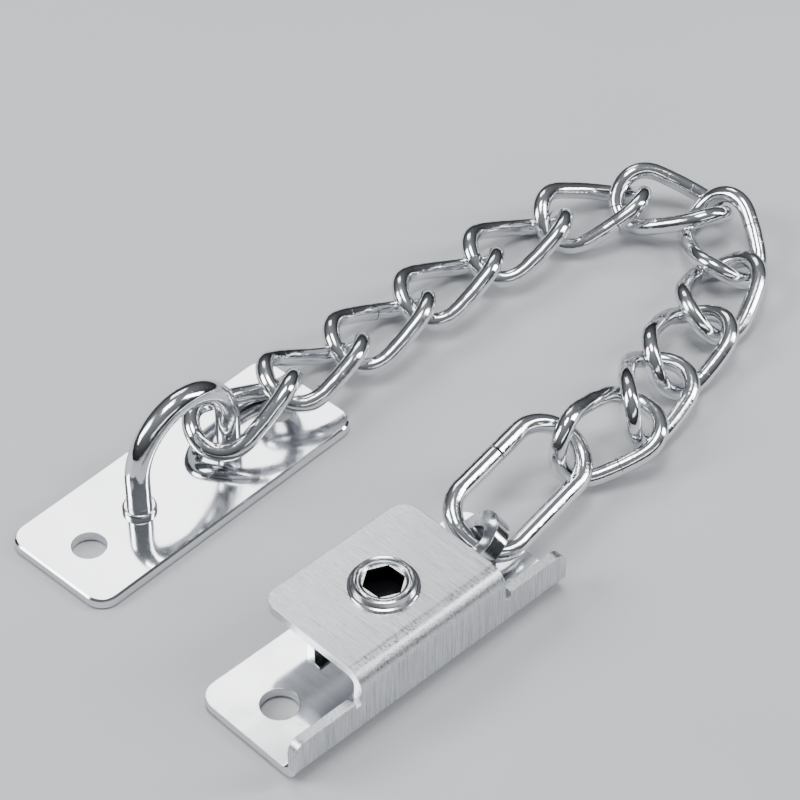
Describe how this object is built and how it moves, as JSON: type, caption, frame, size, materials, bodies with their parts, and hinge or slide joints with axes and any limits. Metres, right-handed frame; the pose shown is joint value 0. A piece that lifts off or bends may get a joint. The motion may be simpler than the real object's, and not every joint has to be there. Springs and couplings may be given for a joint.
{
  "type": "door chain guard",
  "caption": "Door chain guard: frame plate with a riveted staple, a twisted-link chain and end ring, and a tongue held in a bent-sheet lock case.",
  "frame": {"origin": "centre of the frame plate's back face", "axes": "+X along the frame plate towards the chain, +Y across it away from the lock case, +Z out of the mounting face"},
  "size_m": [0.1947, 0.0955, 0.0278],
  "materials": {
    "polished_plate": "mirror polished",
    "polished_rod": "polished",
    "chain_steel": "polished wire",
    "tongue_steel": "plain rolled",
    "case_sheet": "brushed cover on a polished base",
    "screw_steel": "turned, dark in the socket"
  },
  "bodies": {
    "frame": {"frame_plate": "polished_plate", "staple": "polished_rod", "staple_collars": "polished_rod"},
    "link_01": {"chain_link_01": "chain_steel"},
    "link_02": {"chain_link_02": "chain_steel"},
    "link_03": {"chain_link_03": "chain_steel"},
    "link_04": {"chain_link_04": "chain_steel"},
    "link_05": {"chain_link_05": "chain_steel"},
    "link_06": {"chain_link_06": "chain_steel"},
    "link_07": {"chain_link_07": "chain_steel"},
    "link_08": {"chain_link_08": "chain_steel"},
    "link_09": {"chain_link_09": "chain_steel"},
    "link_10": {"chain_link_10": "chain_steel"},
    "link_11": {"chain_link_11": "chain_steel"},
    "link_12": {"chain_link_12": "chain_steel"},
    "ring": {"end_ring": "chain_steel"},
    "tongue": {"tongue": "tongue_steel"},
    "case": {"lock_case": "case_sheet", "lock_collar": "polished_rod", "tongue_rails": "tongue_steel"},
    "washer": {"screw_washer": "screw_steel"},
    "screw": {"lock_screw": "screw_steel"}
  },
  "joints": [
    {"name": "chain_link_01_swing", "type": "hinge", "parent": "frame", "child": "link_01", "pos_m": [0.0135, 0, 0.0072], "axis": [0, 0, -1], "range_deg": [-25, 25]},
    {"name": "chain_link_02_swing", "type": "hinge", "parent": "link_01", "child": "link_02", "pos_m": [0.02965, -0.00083, 0.0097], "axis": [0, 0, 1], "range_deg": [-20, 20]},
    {"name": "chain_link_03_swing", "type": "hinge", "parent": "link_02", "child": "link_03", "pos_m": [0.04995, -0.00083, 0.00685], "axis": [0.018, 0.9998, 0], "range_deg": [-25, 25]},
    {"name": "chain_link_04_swing", "type": "hinge", "parent": "link_03", "child": "link_04", "pos_m": [0.07193, -0.0016, 0.00646], "axis": [0.052, 0.9986, 0], "range_deg": [-18, 18]},
    {"name": "chain_link_05_swing", "type": "hinge", "parent": "link_04", "child": "link_05", "pos_m": [0.09388, -0.00313, 0.00646], "axis": [-0.087, -0.9962, 0], "range_deg": [-24, 24]},
    {"name": "chain_link_06_swing", "type": "hinge", "parent": "link_05", "child": "link_06", "pos_m": [0.11526, -0.00538, 0.00609], "axis": [0.2331, 0.9725, 0], "range_deg": [-25, 25]},
    {"name": "chain_link_07_swing", "type": "hinge", "parent": "link_06", "child": "link_07", "pos_m": [0.13533, -0.01309, 0.00609], "axis": [0, 0, 1], "range_deg": [-4, 30]},
    {"name": "chain_link_08_swing", "type": "hinge", "parent": "link_07", "child": "link_08", "pos_m": [0.14418, -0.03046, 0.00609], "axis": [0, 0, 1], "range_deg": [-3, 30]},
    {"name": "chain_link_09_swing", "type": "hinge", "parent": "link_08", "child": "link_09", "pos_m": [0.13278, -0.0456, 0.00476], "axis": [0, 0, 1], "range_deg": [-3, 30]},
    {"name": "chain_link_10_swing", "type": "hinge", "parent": "link_09", "child": "link_10", "pos_m": [0.11379, -0.05327, 0.00583], "axis": [-0.2921, 0.9564, 0], "range_deg": [-24, 24]},
    {"name": "chain_link_11_swing", "type": "hinge", "parent": "link_10", "child": "link_11", "pos_m": [0.09328, -0.05763, 0.00693], "axis": [0.2921, -0.9564, 0], "range_deg": [-4, 18]},
    {"name": "chain_link_12_swing", "type": "hinge", "parent": "link_11", "child": "link_12", "pos_m": [0.0758, -0.06469, 0.00925], "axis": [0, 0, 1], "range_deg": [-2, 28]},
    {"name": "end_ring_swing", "type": "hinge", "parent": "link_12", "child": "ring", "pos_m": [0.05765, -0.06116, 0.00989], "axis": [-0.1909, -0.9816, 0], "range_deg": [-4, 24]},
    {"name": "tongue_swing", "type": "hinge", "parent": "ring", "child": "tongue", "pos_m": [0.02355, -0.06415, 0.00898], "axis": [0, 0, -1], "range_deg": [-2, 28]},
    {"name": "tongue_slide", "type": "slide", "parent": "tongue", "child": "case", "axis": [-0.9986, 0.0523, 0], "range_m": [0, 0.042]},
    {"name": "lock_screw_lift", "type": "slide", "parent": "case", "child": "washer", "axis": [0, 0, 1], "range_m": [-0.0044, 0]},
    {"name": "lock_screw_turn", "type": "hinge", "parent": "washer", "child": "screw", "pos_m": [-0.0041, -0.0635, 0], "axis": [0, 0, 1], "range_deg": [-1060, 0]}
  ],
  "couplings": [
    {"joint": "lock_screw_turn", "follows": "lock_screw_lift", "rad_per_m": 4188.8}
  ]
}
